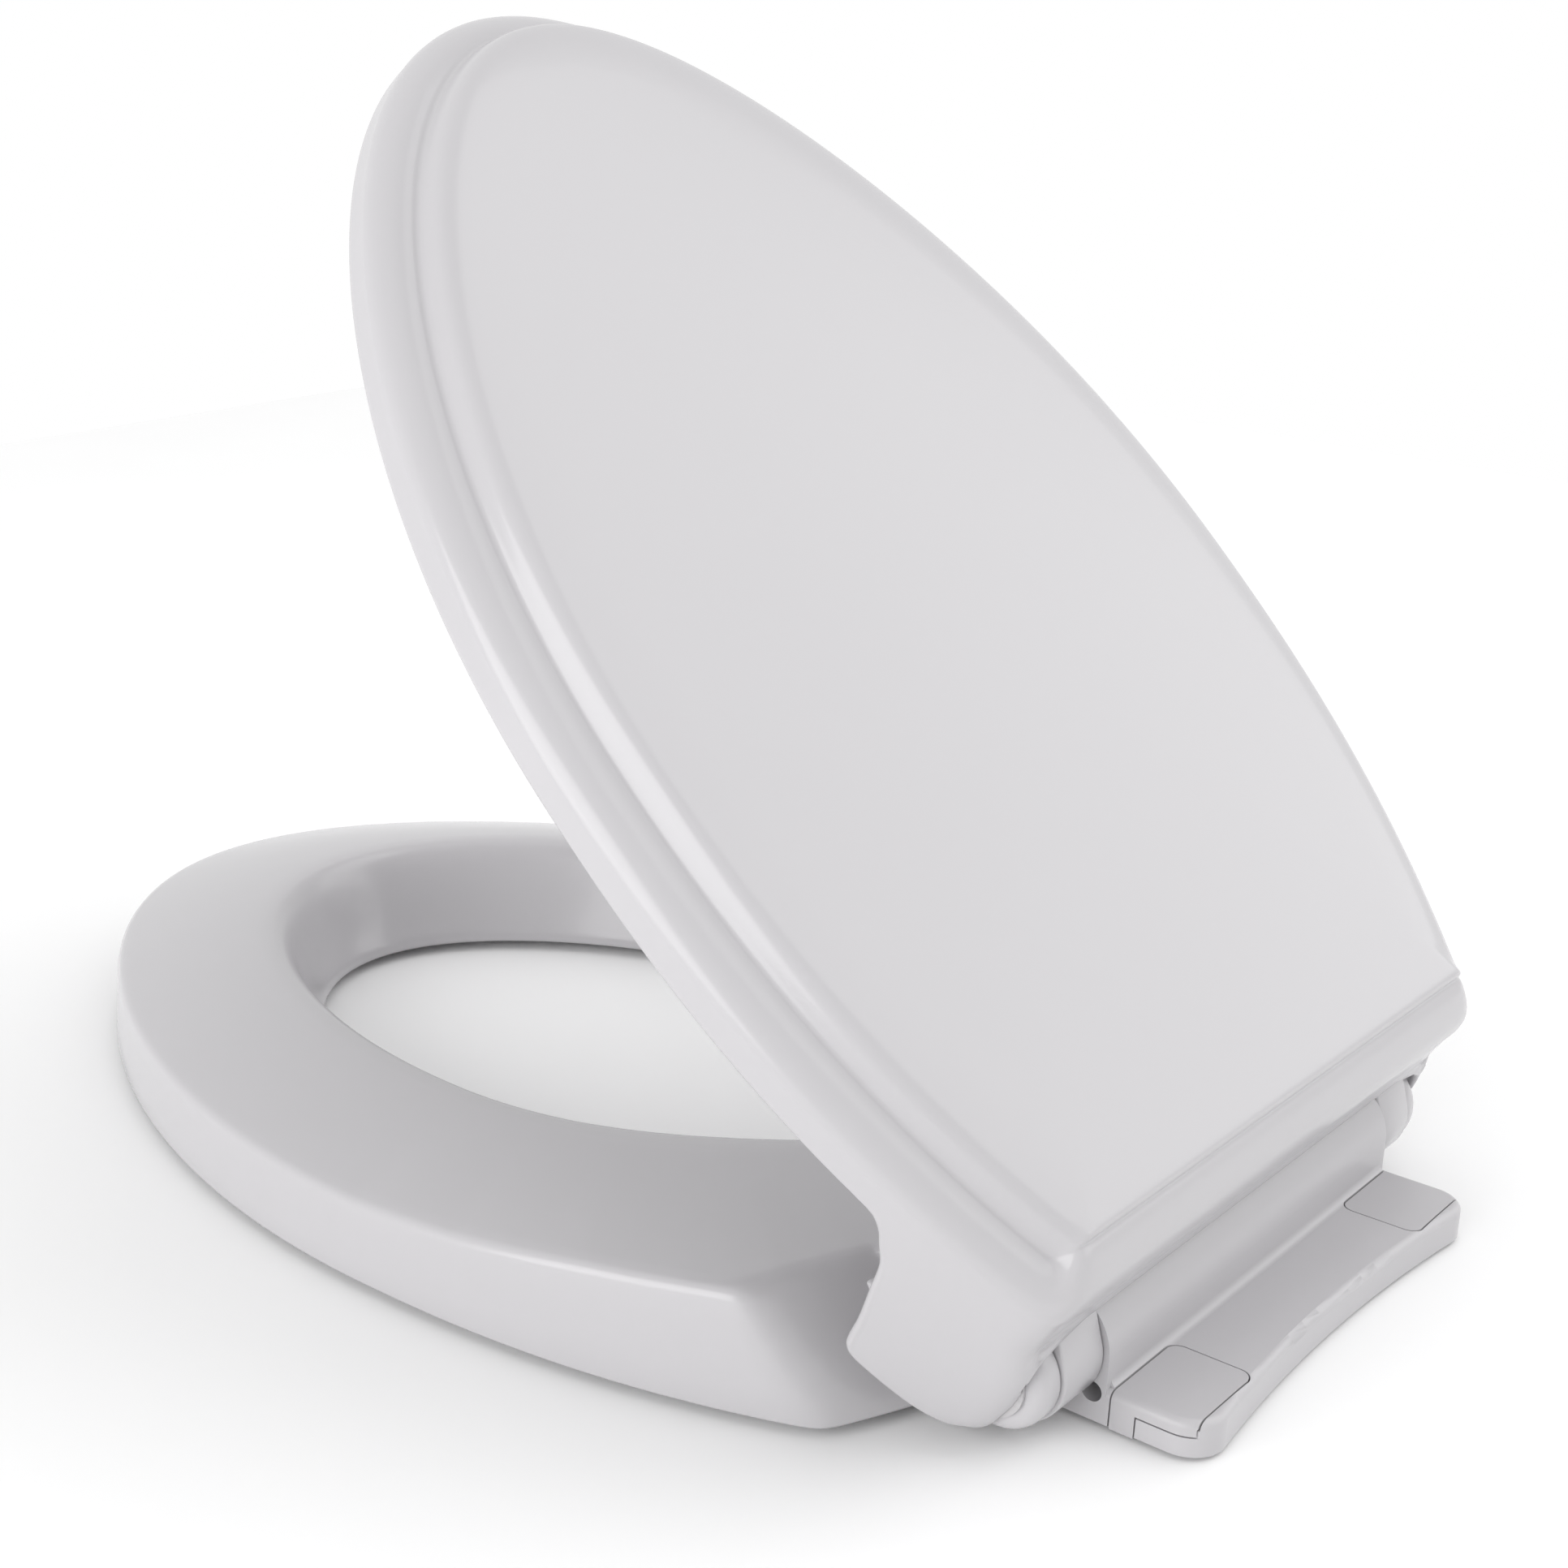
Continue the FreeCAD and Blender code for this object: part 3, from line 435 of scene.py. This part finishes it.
# ------------------------------------------------------------------ lid shell
@dataclass
class LidShell:
    """Lid with its raised panel, side wings and knuckles, measured shut and then opened."""

    plan: PlanShape
    hinge: HingeAxis
    rest_degrees: float = 43.8
    overhang: float = 1.0
    rim_z: float = 50.8
    wall_z: float = 58.0
    top_z: float = 77.5
    thick: float = 3.2
    crown: float = 1.1
    corner_round: float = 3.4
    front_columns: int = 300
    wing_samples: int = 10
    wing_thin: float = 1.8
    panel_round: float = 1.3
    wing_thin_y: tuple[float, float] = (-45.0, -24.0)
    wing_thin_z: tuple[float, float] = (34.0, 44.0)
    draft_from_z: float = 50.0
    rear_line: tuple[tuple[float, float], ...] = (
        (0.0, -21.0), (15.5, -21.1), (23.5, -22.8), (34.0, -26.3), (41.5, -29.9), (44.0, -32.5),
        (50.0, -34.0), (58.0, -34.9))
    profile: tuple[tuple[float, float, float, float], ...] = (
        (0.5, 58.0, -34.9, 58.0), (0.9, 59.6, -35.4, 61.0), (1.7, 61.2, -36.3, 64.0),
        (3.0, 62.7, -37.6, 66.6), (4.8, 64.1, -39.3, 68.8), (7.0, 65.2, -41.5, 70.8),
        (9.3, 65.9, -44.0, 72.4), (11.4, 66.25, -46.6, 73.6), (12.8, 66.45, -48.4, 74.1),
        (13.5, 66.9, -49.2, 74.2), (14.0, 67.8, -49.7, 74.4), (14.5, 69.2, -50.0, 74.95),
        (15.1, 71.0, -50.2, 75.65), (15.8, 72.6, -50.45, 76.3), (16.8, 74.0, -50.85, 76.85),
        (18.3, 75.1, -51.7, 77.2), (20.6, 75.9, -53.5, 77.4), (24.0, 76.6, -57.0, 77.48),
        (29.0, 77.2, -63.0, 77.49), (36.0, 77.5, -70.0, 77.5))

    def rear_y(self, z: Array) -> Array:
        """Outside of the rear wall at a height, carried on below its lower edge for the wings."""
        return np.interp(z, *zip(*self.rear_line))

    def radius(self, angle: Array, z: Array, inset: float) -> Array:
        """Distance from the plan centre to the lid's wall at a height.

        Args:
            angle: Plan angles in radians.
            z: Heights in millimetres.
            inset: Distance inside the outer face.

        Returns:
            Distances in millimetres.
        """
        side = self.plan.outline_radius(angle, inset - self.overhang)
        return self.blended(angle, side, self.rear_y(z) - inset, self.corner_round)[0]

    def blended(self, angle: Array, side: Array, rear_y: Array, rounding: float) -> tuple[Array, Array]:
        """Side and rear walls rounded into each other.

        Args:
            angle: Plan angles in radians.
            side: Distance to the side wall.
            rear_y: Place of the rear wall.
            rounding: Size of the rounding between them.

        Returns:
            Distance to the rounded wall, and how far it is rear wall, from 0 to 1.
        """
        reach = (rear_y - self.plan.centre_y) / np.maximum(np.sin(angle), 0.3)
        rear = np.where(np.sin(angle) > 0.3, reach, 900.0)
        share = 1 / (1 + np.exp(np.clip((rear - side) / rounding, -60, 60)))
        return smooth_min([side, rear], rounding), share

    def side_angle(self, y: float) -> float:
        """Plan angle of the side wall at y."""
        return math.atan2(y - self.plan.centre_y, float(self.plan.side_x(y)) + self.overhang)

    def rear_angle(self, x: float, z: float) -> float:
        """Plan angle of the rear wall at x and height z."""
        return math.atan2(float(self.rear_y(z)) - self.plan.centre_y, x)

    def boundary(self) -> Array:
        """Edge of the lid's wall for the +X half, from the front tip to the middle of the rear.

        Returns:
            Rows of (edge angle, edge height, matching angle on the wall above).
        """
        rim = self.rim_z
        front = np.linspace(-math.pi / 2, self.side_angle(-98.0), self.front_columns)
        first = np.c_[front, np.full(front.shape, rim), front]
        side = self.side_angle
        wing = [
            (side(-98.0), rim), (side(-91.0), rim), (side(-85.0), rim - 0.5), (side(-80.4), rim - 3.2),
            (side(-76.6), rim - 7.5), (side(-72.3), 38.0), (side(-68.0), 28.0), (side(-63.6), 17.5),
            (side(-61.0), 9.6), (side(-59.6), 6.8), (side(-57.0), 5.3), (side(-51.5), 4.8),
            (side(-45.0), 4.6), (side(-38.5), 4.7), (side(-33.4), 5.5), (side(-28.9), 7.0),
            (side(-25.8), 9.4),
            (self.rear_angle(124.7, 12.5), 12.5), (self.rear_angle(124.2, 17.0), 17.0),
            (self.rear_angle(123.6, 23.5), 23.5), (self.rear_angle(124.0, 29.0), 29.0),
            (self.rear_angle(124.4, 34.0), 34.0), (self.rear_angle(122.2, 41.0), 39.5),
            (self.rear_angle(117.0, 42.5), 42.0), (self.rear_angle(111.0, 43.0), 42.9)]
        second = spline(wing, self.wing_samples)
        upper = np.linspace(side(-98.0), self.rear_angle(111.0, self.wall_z), len(second))
        second = np.c_[second, upper]
        x = np.linspace(111.0, 0.0, 60)[1:]
        height = np.interp(x, [100.0, 111.0], [43.9, 42.9])
        low = np.array([self.rear_angle(v, h) for v, h in zip(x, height)])
        high = np.array([self.rear_angle(v, self.wall_z) for v in x])
        third = np.c_[low, height, high]
        return np.vstack([first[:-1], second, third])

    def sheet(self, edge: Array, inset: float) -> list[Array]:
        """Rows of one face of the lid from its edge up over the wall and panel to the middle.

        Args:
            edge: Rows from boundary.
            inset: 0 for the outside, the wall thickness for the inside.

        Returns:
            Point rows, the last one close to the panel's middle.
        """
        rows = []
        for share in np.linspace(0, 1, 17):
            angle = edge[:, 0] + (edge[:, 2] - edge[:, 0]) * share
            z = edge[:, 1] + (self.wall_z - edge[:, 1]) * share
            draft = self.profile[0][0] * smooth_step(z, self.draft_from_z, self.wall_z)
            reach = self.radius(angle, z, inset) - draft
            if inset > 0:
                y = self.plan.centre_y + reach * np.sin(angle)
                low_share = 1 - smooth_step(z, *self.wing_thin_z)
                reach = reach + self.wing_thin * smooth_step(y, *self.wing_thin_y) * low_share
            rows.append(self.plan.place(angle, reach, z))
        angle = edge[:, 2]
        for side_inset, side_z, rear_y, rear_z in self.profile[1:]:
            side = self.plan.outline_radius(angle, side_inset + inset - self.overhang)
            rounding = float(np.interp(side_inset, (4.0, 13.0), (self.corner_round, self.panel_round)))
            reach, share = self.blended(angle, side, np.full(angle.shape, rear_y - inset), rounding)
            rows.append(self.plan.place(angle, reach, side_z + (rear_z - side_z) * share - inset))
        rim = rows[-1]
        centre = np.array([0.0, self.plan.centre_y, self.top_z - inset])
        for share in (0.97, 0.93, 0.86, 0.76, 0.64, 0.5, 0.36, 0.22, 0.1):
            row = centre + (rim - centre) * share
            row[:, 2] = self.top_z - inset + self.crown * (1 - share ** 2)
            rows.append(row)
        return rows

    def opened(self, points: Array) -> Array:
        """Turn points of the shut lid to its rest angle."""
        turn = math.radians(self.rest_degrees)
        y, z = points[:, 1] - self.hinge.y, points[:, 2] - self.hinge.z
        return np.c_[points[:, 0], self.hinge.y + y * math.cos(turn) + z * math.sin(turn),
                     self.hinge.z - y * math.sin(turn) + z * math.cos(turn)]

    def build_shell(self) -> bpy.types.Object:
        """Closed shell: outer face, rounded edge and inner face."""
        half = self.boundary()
        other = half[-2:0:-1].copy()
        other[:, 0] = math.pi - other[:, 0]
        other[:, 2] = math.pi - other[:, 2]
        edge = np.vstack([half, other])
        outer = self.sheet(edge, 0.0)
        inner = self.sheet(edge, self.thick)
        first, above = outer[0], outer[1]
        along = np.roll(first, -1, axis=0) - np.roll(first, 1, axis=0)
        along /= np.linalg.norm(along, axis=1)[:, None]
        inward = inner[0] - first
        inward -= (inward * along).sum(axis=1)[:, None] * along
        width = np.linalg.norm(inward, axis=1)[:, None]
        inward /= width
        out = np.cross(along, inward)
        flip = ((above - first) * out).sum(axis=1) > 0
        out[flip] *= -1
        bend = []
        for step in np.linspace(0, math.pi, 9)[1:-1]:
            middle = (first + inner[0]) / 2
            bend.append(middle - inward * width / 2 * math.cos(step) + out * width / 2 * math.sin(step))
        rows = list(reversed(outer)) + bend + inner
        points = np.vstack(rows)
        columns = len(edge)
        faces = grid_faces(len(rows), columns, wrap=True)
        top, low = len(points), len(points) + 1
        points = np.vstack([points, [[0, self.plan.centre_y, self.top_z + self.crown]],
                            [[0, self.plan.centre_y, self.top_z + self.crown - self.thick]]])
        last = (len(rows) - 1) * columns
        for j in range(columns):
            k = (j + 1) % columns
            faces.append((top, k, j))
            faces.append((low, last + j, last + k))
        return mesh_object("lid_dish", self.opened(points), faces)

    def build(self) -> bpy.types.Object:
        """Shell and both knuckles as one piece riding on the lid."""
        corners = [(8.25, 14.3), (-2.8, 20.5), (-4.0, 28.0), (-17.0, 48.0), (-19.0, 48.0), (-19.0, 25.0),
                   (-15.7, 4.5)]
        turn = math.radians(self.rest_degrees)
        turned = [(y * math.cos(turn) + z * math.sin(turn), -y * math.sin(turn) + z * math.cos(turn))
                  for y, z in corners]
        parts = [self.build_shell()]
        for side in Side:
            parts.append(self.hinge.knuckle("lid_knuckle", self.hinge.lid_x, turned, self.hinge.lid_radius,
                                            side))
        shell = join(parts, "lid_moulding")
        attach(shell, "lid")
        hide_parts("lid_shell")
        return shell


# ------------------------------------------------------------------ finishes
def relief_group() -> bpy.types.NodeTree:
    """Shared surface effect, made once: relief normal and a cloud mask."""
    name = "surface_relief"
    if name in bpy.data.node_groups:
        return bpy.data.node_groups[name]
    group = bpy.data.node_groups.new(name, "ShaderNodeTree")
    for title in ("Ripple scale", "Grain scale", "Ripple depth", "Grain depth"):
        group.interface.new_socket(title, in_out="INPUT", socket_type="NodeSocketFloat")
    group.interface.new_socket("Normal", in_out="OUTPUT", socket_type="NodeSocketVector")
    group.interface.new_socket("Cloud", in_out="OUTPUT", socket_type="NodeSocketFloat")
    nodes, links = group.nodes, group.links
    source, sink = nodes.new("NodeGroupInput"), nodes.new("NodeGroupOutput")
    place = nodes.new("ShaderNodeTexCoord")
    ripple, grain, cloud = (nodes.new("ShaderNodeTexNoise") for _ in range(3))
    first, second = nodes.new("ShaderNodeBump"), nodes.new("ShaderNodeBump")
    for noise in (ripple, grain, cloud):
        links.new(place.outputs["Object"], noise.inputs["Vector"])
    links.new(source.outputs["Ripple scale"], ripple.inputs["Scale"])
    links.new(source.outputs["Grain scale"], grain.inputs["Scale"])
    cloud.inputs["Scale"].default_value = 11.0
    cloud.inputs["Detail"].default_value = 5.0
    grain.inputs["Detail"].default_value = 3.0
    first.inputs["Distance"].default_value = 0.0006
    second.inputs["Distance"].default_value = 0.00008
    links.new(source.outputs["Ripple depth"], first.inputs["Strength"])
    links.new(source.outputs["Grain depth"], second.inputs["Strength"])
    links.new(ripple.outputs["Fac"], first.inputs["Height"])
    links.new(grain.outputs["Fac"], second.inputs["Height"])
    links.new(first.outputs["Normal"], second.inputs["Normal"])
    links.new(second.outputs["Normal"], sink.inputs["Normal"])
    links.new(cloud.outputs["Fac"], sink.inputs["Cloud"])
    return group


@dataclass(frozen=True)
class Finish:
    """One procedural finish."""

    name: str
    light: Colour
    dark: Colour
    roughness: tuple[float, float]
    grain: Grain = Grain.GLOSS
    ripple_scale: float = 34.0
    grain_scale: float = 900.0
    ripple_depth: float = 0.10
    grain_depth: float = 0.06
    coat: float = 0.0
    metallic: float = 0.0

    def material(self) -> bpy.types.Material:
        """Material of this finish, made once."""
        if self.name in bpy.data.materials:
            return bpy.data.materials[self.name]
        made = bpy.data.materials.new(self.name)
        made.use_nodes = True
        nodes, links = made.node_tree.nodes, made.node_tree.links
        shader = nodes["Principled BSDF"]
        relief = nodes.new("ShaderNodeGroup")
        relief.node_tree = relief_group()
        relief.inputs["Ripple scale"].default_value = self.ripple_scale
        relief.inputs["Grain scale"].default_value = self.grain_scale
        relief.inputs["Ripple depth"].default_value = self.ripple_depth
        relief.inputs["Grain depth"].default_value = self.grain_depth
        tint = nodes.new("ShaderNodeMix")
        tint.data_type = "RGBA"
        tint.inputs[6].default_value = (*self.dark, 1.0)
        tint.inputs[7].default_value = (*self.light, 1.0)
        rough = nodes.new("ShaderNodeMapRange")
        rough.inputs["From Min"].default_value = 0.3
        rough.inputs["From Max"].default_value = 0.7
        rough.inputs["To Min"].default_value = self.roughness[0]
        rough.inputs["To Max"].default_value = self.roughness[1]
        links.new(relief.outputs["Cloud"], tint.inputs[0])
        links.new(tint.outputs[2], shader.inputs["Base Color"])
        links.new(relief.outputs["Cloud"], rough.inputs["Value"])
        links.new(rough.outputs["Result"], shader.inputs["Roughness"])
        links.new(relief.outputs["Normal"], shader.inputs["Normal"])
        shader.inputs["Metallic"].default_value = self.metallic
        shader.inputs["IOR"].default_value = 1.5
        shader.inputs["Coat Weight"].default_value = self.coat
        shader.inputs["Coat Roughness"].default_value = 0.04
        if self.grain is Grain.TURNED:
            shader.inputs["Anisotropic"].default_value = 0.6
        LOG.info("finish %s", self.name)
        return made


GLOSS_WHITE = Finish("gloss_white", (0.520, 0.510, 0.526), (0.502, 0.492, 0.507), (0.20, 0.26), coat=0.15,
                     ripple_depth=0.03)
BASE_WHITE = Finish("base_white", (0.520, 0.510, 0.526), (0.495, 0.486, 0.501), (0.28, 0.36),
                    ripple_depth=0.03)
COVER_WHITE = Finish("cover_white", (0.508, 0.498, 0.513), (0.483, 0.474, 0.488), (0.28, 0.38),
                     grain=Grain.SATIN, grain_depth=0.14, ripple_depth=0.03)
PLATE_WHITE = Finish("plate_white", (0.70, 0.69, 0.70), (0.66, 0.65, 0.67), (0.38, 0.52), grain=Grain.SATIN,
                     grain_depth=0.22)
GREY_RUBBER = Finish("grey_rubber", (0.56, 0.56, 0.56), (0.48, 0.48, 0.49), (0.55, 0.75), grain=Grain.RUBBER,
                     grain_depth=0.45, ripple_depth=0.2)
BLACK_RUBBER = Finish("black_rubber", (0.03, 0.03, 0.032), (0.018, 0.018, 0.02), (0.45, 0.62),
                      grain=Grain.RUBBER, grain_depth=0.35)
TURNED_STEEL = Finish("turned_steel", (0.62, 0.61, 0.60), (0.50, 0.50, 0.50), (0.22, 0.36),
                      grain=Grain.TURNED, metallic=1.0, grain_depth=0.3)
BUSH_WHITE = Finish("bush_white", (0.50, 0.49, 0.50), (0.46, 0.45, 0.46), (0.36, 0.5), grain=Grain.SATIN)
DAMPER_DARK = Finish("damper_dark", (0.06, 0.06, 0.065), (0.035, 0.035, 0.04), (0.4, 0.55),
                     grain=Grain.SATIN, grain_depth=0.3)

SLOT_FINISH: dict[str, Finish] = {
    "white_shell": GLOSS_WHITE, "base_plastic": BASE_WHITE, "cover_plastic": COVER_WHITE,
    "plate_plastic": PLATE_WHITE, "rubber": GREY_RUBBER, "seal_rubber": BLACK_RUBBER,
    "shaft_steel": TURNED_STEEL, "bush_plastic": BUSH_WHITE, "damper_plastic": DAMPER_DARK}


# ------------------------------------------------------------------ the object
@dataclass
class SeatAssembly:
    """All pieces of the object, with their finishes."""

    plan: PlanShape = field(default_factory=PlanShape)
    hinge: HingeAxis = field(default_factory=HingeAxis)

    def dress_frame(self) -> None:
        """Give every CAD piece the finish of its material slot."""
        slots = {part["node"]: part["material_slot"] for part in frame["record"]["subparts"]}
        for name, obj in frame["nodes"].items():
            finish = SLOT_FINISH[slots[name]]
            obj.data.materials.clear()
            obj.data.materials.append(finish.material())
            LOG.info("%s gets %s", name, finish.name)

    def build(self) -> None:
        """Build the two mouldings and dress the rest."""
        self.dress_frame()
        for piece in (SeatShell(self.plan, self.hinge).build(), LidShell(self.plan, self.hinge).build()):
            piece.data.materials.clear()
            piece.data.materials.append(GLOSS_WHITE.material())


# ------------------------------------------------------------------ studio
@dataclass
class Studio:
    """Floor, soft lights and camera."""

    camera_mm: tuple[float, float, float] = (648.2, 272.7, 396.4)
    forward: tuple[float, float, float] = (-0.75214, -0.57247, -0.32643)
    right: tuple[float, float, float] = (-0.61600, 0.78675, 0.03961)
    lens: float = 58.68
    shift: tuple[float, float] = (0.0313, 0.0051)
    world_strength: float = 0.92
    dark_side: tuple[float, float, float] = (0.70, 0.50, 0.51)
    dark_share: float = 0.34

    def floor(self) -> None:
        """Wide pale floor that the seat stands on."""
        bpy.ops.mesh.primitive_plane_add(size=2.6, location=(0.0, 0.0, -0.0004))
        floor = bpy.context.object
        floor.name = "studio_floor"
        made = Finish("studio_floor", (0.95, 0.95, 0.95), (0.94, 0.94, 0.94), (0.6, 0.75), grain=Grain.SATIN,
                      ripple_depth=0.0, grain_depth=0.02)
        floor.data.materials.append(made.material())

    def light(self, name: str, place: tuple[float, float, float], size: float, power: float) -> None:
        """Square soft light aimed at the seat.

        Args:
            name: Light name.
            place: Position in metres.
            size: Edge length in metres.
            power: Watts.
        """
        data = bpy.data.lights.new(name, "AREA")
        data.shape = "SQUARE"
        data.size = size
        data.energy = power
        obj = bpy.data.objects.new(name, data)
        obj.location = place
        aim = Vector((0.0, -0.2, 0.08)) - Vector(place)
        obj.rotation_euler = aim.to_track_quat("-Z", "Y").to_euler()
        bpy.context.scene.collection.objects.link(obj)

    def camera(self) -> None:
        """Camera behind the hinge, to the right."""
        data = bpy.data.cameras.new("studio_camera")
        data.lens = self.lens
        data.sensor_width = 36.0
        data.shift_x, data.shift_y = self.shift
        data.clip_end = 60.0
        obj = bpy.data.objects.new("studio_camera", data)
        back = -Vector(self.forward).normalized()
        right = Vector(self.right)
        right = (right - back * right.dot(back)).normalized()
        up = back.cross(right)
        turn = Matrix((right, up, back)).transposed().to_4x4()
        turn.translation = Vector(self.camera_mm) * MM
        obj.matrix_world = turn
        bpy.context.scene.collection.objects.link(obj)
        bpy.context.scene.camera = obj

    def world(self) -> None:
        """White surroundings, dimmer behind the camera."""
        world = bpy.data.worlds.new("studio_world")
        world.use_nodes = True
        nodes, links = world.node_tree.nodes, world.node_tree.links
        background = nodes["Background"]
        background.inputs["Color"].default_value = (1.0, 1.0, 1.0, 1.0)
        place, toward = nodes.new("ShaderNodeTexCoord"), nodes.new("ShaderNodeVectorMath")
        toward.operation = "DOT_PRODUCT"
        toward.inputs[1].default_value = Vector(self.dark_side).normalized()
        fall = nodes.new("ShaderNodeMapRange")
        fall.interpolation_type = "SMOOTHSTEP"
        fall.inputs["From Min"].default_value = 0.35
        fall.inputs["From Max"].default_value = 0.95
        fall.inputs["To Min"].default_value = self.world_strength
        fall.inputs["To Max"].default_value = self.world_strength * (1 - self.dark_share)
        links.new(place.outputs["Generated"], toward.inputs[0])
        links.new(toward.outputs["Value"], fall.inputs["Value"])
        links.new(fall.outputs["Result"], background.inputs["Strength"])
        seen = nodes.new("ShaderNodeBackground")
        seen.inputs["Color"].default_value = (1.0, 1.0, 1.0, 1.0)
        path, mix = nodes.new("ShaderNodeLightPath"), nodes.new("ShaderNodeMixShader")
        links.new(path.outputs["Is Camera Ray"], mix.inputs[0])
        links.new(background.outputs[0], mix.inputs[1])
        links.new(seen.outputs[0], mix.inputs[2])
        links.new(mix.outputs[0], nodes["World Output"].inputs["Surface"])
        bpy.context.scene.world = world

    def build(self) -> None:
        """Set up the whole studio."""
        self.floor()
        self.world()
        self.light("key", (-1.6, 1.2, 1.9), 3.2, 36.0)
        self.light("fill", (2.4, -0.4, 0.6), 2.2, 44.0)
        self.camera()
        bpy.context.scene.view_settings.view_transform = "Standard"


def main() -> None:
    """Build the object and the studio."""
    logging.basicConfig(level=logging.INFO)
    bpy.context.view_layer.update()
    SeatAssembly().build()
    Studio().build()


if __name__ == "__main__":
    main()
